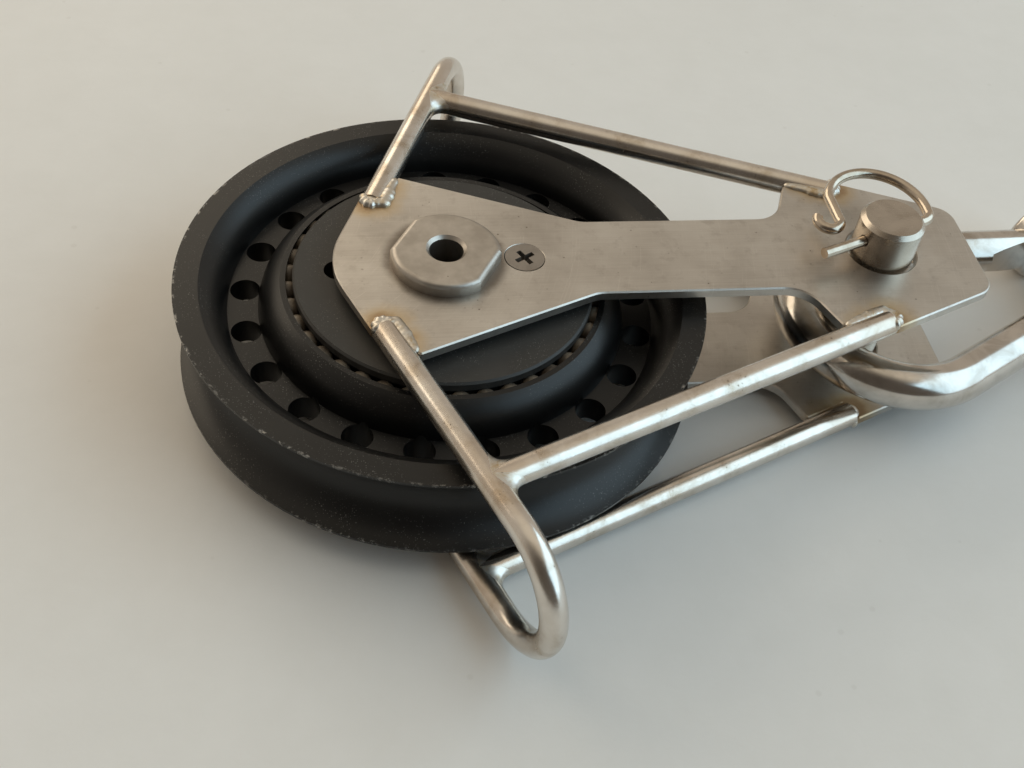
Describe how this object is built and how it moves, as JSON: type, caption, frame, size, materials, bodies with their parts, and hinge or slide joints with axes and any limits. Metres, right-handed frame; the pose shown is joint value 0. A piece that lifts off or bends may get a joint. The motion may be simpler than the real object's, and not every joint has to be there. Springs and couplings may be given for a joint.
{
  "type": "single sheave block",
  "caption": "Stainless steel block for rope: a grooved black sheave on a roller bearing between welded cheeks, with rod rope guards, a clevis pin with cotter ring, and a bow shackle.",
  "frame": {"origin": "centre of the sheave, on the axis of the axle's bore", "axes": "+Z along the axle, up as the block lies on its side; +X from the sheave to the clevis pin and shackle; +Y to the back rope guard"},
  "size_m": [0.1606, 0.1138, 0.0295],
  "materials": {
    "cheek_steel": "satin brushed stainless sheet, heat tinted near the welds",
    "rod_steel": "polished stainless wire, tinted brown near the welds",
    "sheave_anodised": "black hard anodised, semi-gloss, chipped at the rim",
    "race_steel": "turned stainless",
    "bearing_plate_black": "matte dark grey",
    "ball_plastic": "pale grey acetal",
    "roller_plastic": "brown high-load bearing plastic",
    "axle_steel": "satin stainless with polished rounded edges",
    "screw_steel": "satin stainless",
    "pin_steel": "polished stainless",
    "ring_steel": "polished stainless spring wire",
    "shackle_steel": "polished forged stainless"
  },
  "bodies": {
    "block_frame": {"upper_cheek_plate": "cheek_steel", "lower_cheek_plate": "cheek_steel", "front_rope_guard": "rod_steel", "back_rope_guard": "rod_steel", "front_upper_strut": "rod_steel", "front_lower_strut": "rod_steel", "back_upper_strut": "rod_steel", "back_lower_strut": "rod_steel", "axle_bolt": "axle_steel", "axle_nut": "axle_steel", "bearing_hub": "race_steel", "upper_bearing_plate": "bearing_plate_black", "lower_bearing_plate": "bearing_plate_black", "upper_spacer_washer": "race_steel", "lower_spacer_washer": "race_steel", "upper_lock_screw": "screw_steel", "lower_lock_screw": "screw_steel"},
    "sheave": {"sheave": "sheave_anodised"},
    "roller_set": {"bearing_rollers": "roller_plastic"},
    "ball_sets": {"upper_side_balls": "ball_plastic", "lower_side_balls": "ball_plastic"},
    "clevis_pin": {"clevis_pin": "pin_steel"},
    "cotter_ring": {"cotter_ring": "ring_steel"},
    "shackle": {"shackle_bow": "shackle_steel"},
    "shackle_pin": {"shackle_pin": "shackle_steel"}
  },
  "joints": [
    {"name": "sheave_spin", "type": "hinge", "parent": "block_frame", "child": "sheave", "pos_m": [0, 0, 0], "axis": [0, 0, 1], "continuous": true},
    {"name": "roller_orbit", "type": "hinge", "parent": "block_frame", "child": "roller_set", "pos_m": [0, 0, 0], "axis": [0, 0, 1], "continuous": true},
    {"name": "ball_orbit", "type": "hinge", "parent": "block_frame", "child": "ball_sets", "pos_m": [0, 0, 0], "axis": [0, 0, 1], "continuous": true},
    {"name": "clevis_turn", "type": "hinge", "parent": "block_frame", "child": "clevis_pin", "pos_m": [0.0656, 0, 0], "axis": [0, 0, 1], "continuous": true},
    {"name": "ring_flip", "type": "hinge", "parent": "clevis_pin", "child": "cotter_ring", "pos_m": [0.0656, 0, 0.014], "axis": [0.9361, 0.3518, 0], "range_deg": [-14, 182]},
    {"name": "shackle_swing", "type": "hinge", "parent": "block_frame", "child": "shackle", "pos_m": [0.0656, 0, 0], "axis": [0, 0, 1], "range_deg": [-107.8, 72.2]},
    {"name": "pin_withdraw", "type": "slide", "parent": "shackle", "child": "shackle_pin", "axis": [0.3057, -0.9521, 0], "range_m": [0, 0.025]}
  ],
  "couplings": [
    {"joint": "roller_orbit", "follows": "sheave_spin", "ratio": 0.553},
    {"joint": "ball_orbit", "follows": "sheave_spin", "ratio": 0.534}
  ]
}
